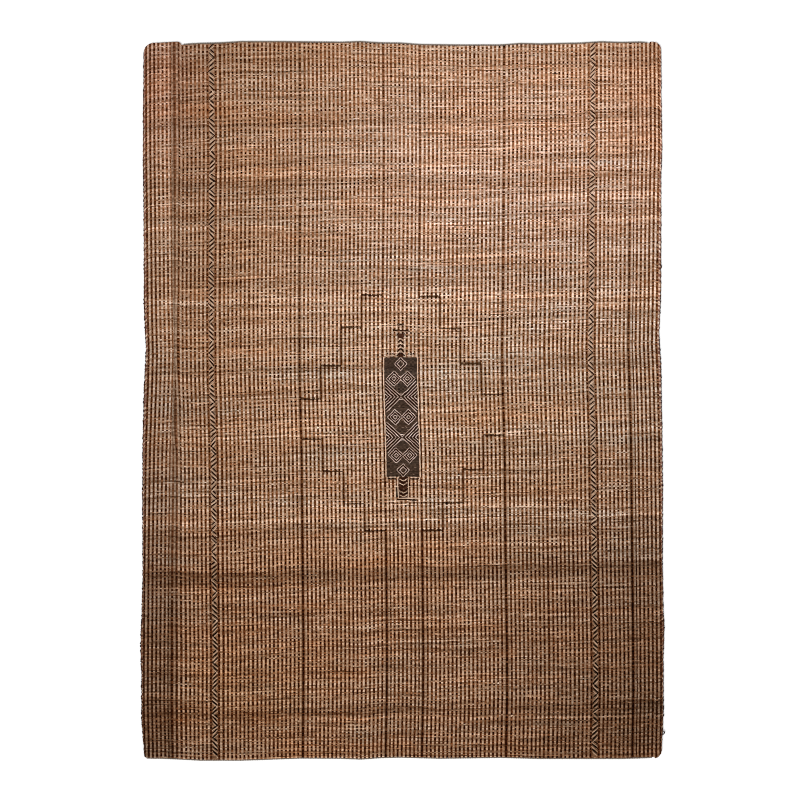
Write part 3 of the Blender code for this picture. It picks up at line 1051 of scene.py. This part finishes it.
near = -PANEL_HALF
for index in range(NEAR_COUNT):
    apex = near - NEAR_PITCH * (index + 1.0)
    if index != BLANK_CHEVRON:
        pale.append(chevron(apex, NEAR_HALF, -NEAR_SLOPE))
    dark.append(chevron(apex + NEAR_PITCH / 2, NEAR_HALF, -NEAR_SLOPE))
brown += brown_block(near - SLOT_END / 2, SLOT_END, SLOT_HALF - 0.003)
pale += [[(side * (SLOT_HALF + 0.002), near), (side * SLOT_HALF, near - SLOT_END)] for side in BOTH]
dark.append([(-SLOT_HALF - LINE_DROP, near - 0.048), (-SLOT_HALF - LINE_DROP, near - SLOT_END)])
pale += both_sides(near - 0.044, SLOT_HALF, SLOT_HALF + 0.018)
pale += both_sides(near - FOOT_DROP, FOOT_FROM, PALE_FOOT_TO)
pale.append(bar(near - SLOT_END, -SLOT_HALF, 0.078, 0.004))
dark += both_sides(near - FOOT_DROP - LINE_DROP, FOOT_FROM, DARK_FOOT_TO)
dark.append(bar(near - SLOT_END - LINE_DROP, -SLOT_HALF - LINE_DROP, 0.062, 0.002))

brown_paths, dark_paths, pale_paths = (
    [panel_path(stroke, level=level) for stroke in strokes]
    for strokes, level in ((brown, TIP_LEVEL), (dark, STROKE_LEVEL), (pale, STROKE_LEVEL))
)
on_panel += [
    lay_yarns("panel_tip_brown_yarns", brown_paths, BROWN_RADIUS, brown_yarn, flatness=BROWN_FLATNESS),
    lay_yarns("panel_tip_dark_yarns", dark_paths, TIP_DARK_RADIUS, dark_yarn),
    lay_yarns("panel_tip_pale_yarns", pale_paths, TIP_PALE_RADIUS, band_yarn, lift=TIP_LIFT),
]
print("strokes of both tips:", len(dark), len(pale), len(brown))

# %% Loose loop and stray thread
LOOP_PLACE, LOOP_LEVEL, LOOP_RADIUS, LOOP_SHADE = -1.556, 0.006, 0.0022, 2.0
LOOP = table("out along", (-4, 11), (5.25, 5.5), (7.5, 0), (4.5, -5.5), (-5, -11), parts=1000)
THREAD_X, THREAD_Y, THREAD_LEVEL, THREAD_RADIUS, THREAD_SHADE = 0.716, 1.533, 0.0088, 0.0024, 1.6
THREAD_STEP, THREAD_HALF_STEPS = 0.004, 3

loop_side = float(half_width(LOOP_PLACE, "right"))
loop = [(loop_side + point.out, LOOP_PLACE + point.along, LOOP_LEVEL) for point in LOOP]
loose_loop = lay_yarns("loose_selvedge_loop", [loop], LOOP_RADIUS, dark_yarn, sides=2, shade=LOOP_SHADE)
thread = [(THREAD_X + THREAD_STEP * index, THREAD_Y + THREAD_STEP * (index % 2), THREAD_LEVEL)
          for index in range(-THREAD_HALF_STEPS, THREAD_HALF_STEPS + 1)]
stray_thread = lay_yarns("stray_thread", [thread], THREAD_RADIUS, dark_yarn, sides=2, taper=True,
                         shade=THREAD_SHADE)
print("loose loop at", round(loop_side, 3))

# %% Zigzag bands
BAND_PITCH, BAND_HALF, BAND_RADIUS = 0.0205, 0.0138, 0.0029
BAND_YARNS = table(
    "name shift yarn lift shade", ("pale", 0.0, band_yarn, 0.55, 1.0), ("dark", 0.5, dark_yarn, 3.0, 3.3)
)
BAND_RUN, BAND_REACH, BAND_WIDTH = (2, 5), (0.7, 1.0), (0.78, 1.05)
BAND_LOW, BAND_HIGH = 0.0066, 0.0078


def slanting_floats(band, shift):
    """Short slanting yarns over one band: two to four lean one way, then two to four the other."""
    column = 4 * band.rib
    count = int(LENGTH / BAND_PITCH) - 2
    own_random = np.random.default_rng(band.seed)
    lean, turn = 1, 1
    floats = []
    for index in range(1, count):
        if index >= turn:
            lean, turn = -lean, index + own_random.integers(*BAND_RUN)
        row = round((index + shift) / count * PICKS)
        x, y = place_x[row, column], place_y[row, column]
        reach = lean * BAND_HALF * own_random.uniform(*BAND_REACH)
        width = BAND_HALF * own_random.uniform(*BAND_WIDTH)
        floats.append([(x + width / part, y + reach / part, level)
                       for part, level in ((-1, BAND_LOW), (-3, BAND_HIGH), (3, BAND_HIGH), (1, BAND_LOW))])
    return floats


zigzags = {band.side: [
    lay_yarns(f"{band.side}_zigzag_{laid.name}_yarns", slanting_floats(band, laid.shift), BAND_RADIUS,
              laid.yarn, taper=True, lift=laid.lift, shade=laid.shade) for laid in BAND_YARNS
] for band in ZIGZAGS}
print("zigzag yarns:", [thing.name for pair in zigzags.values() for thing in pair])

# %% [markdown]
# ## End cords
# Each end is closed by a matt cotton cord of two plies, each a real helix. The far cord starts after the
# plain left stretch of its end, and the near one runs over the whole width.

# %% End cords
PLY_RADIUS, HELIX_RADIUS, TWIST_PITCH, TWIST_STEPS, CLOSING = 0.00175, 0.0013, 0.016, 8, 60


def cord_plies(end):
    """Two twisted plies whose outer side lies on the end line."""
    length = end.cord_to - end.cord_from
    turns = length / TWIST_PITCH
    share = np.linspace(0, 1, int(turns * TWIST_STEPS))
    across = end.cord_from + share * length
    line = half_length(across, end.line) - CORD_DIAMETER / 2
    apart = np.minimum(1, np.minimum(share, 1 - share) * CLOSING)
    plies = []
    for phase in (0, np.pi):
        angle = 2 * np.pi * turns * share + phase
        y = end.direction * (line + HELIX_RADIUS * np.cos(angle) * apart)
        z = CORD_DIAMETER / 2 + HELIX_RADIUS * np.sin(angle) * apart
        plies.append(list(zip(across, y, z, strict=True)))
    return plies


far_cord, near_cord = (
    lay_yarns(name, cord_plies(end), PLY_RADIUS, cotton, flatness=1.0, taper=True, even=True)
    for name, end in (("far_end_cord", FAR_END), ("near_end_cord", NEAR_END))
)
print("cord vertices:", len(far_cord.data.vertices), len(near_cord.data.vertices))

# %% [markdown]
# ## Joining the frame
# Every piece rides with the one body of the model, and the cloth and the cords stand for their solids.

# %% Riding and replacing
for piece in lengths.values():
    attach(piece, "root")
    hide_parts("rug_field")
on_sheet = {
    "panel": on_panel,
    "left_field": zigzags["left"],
    "right_field": [*zigzags["right"], stray_thread],
    "right_border": [loose_loop],
}
for piece in (piece for pieces in on_sheet.values() for piece in pieces):
    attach(piece, "root")
for piece, node in ((far_cord, "end_binding_top"), (near_cord, "end_binding_bottom")):
    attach(piece, "root")
    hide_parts(node)
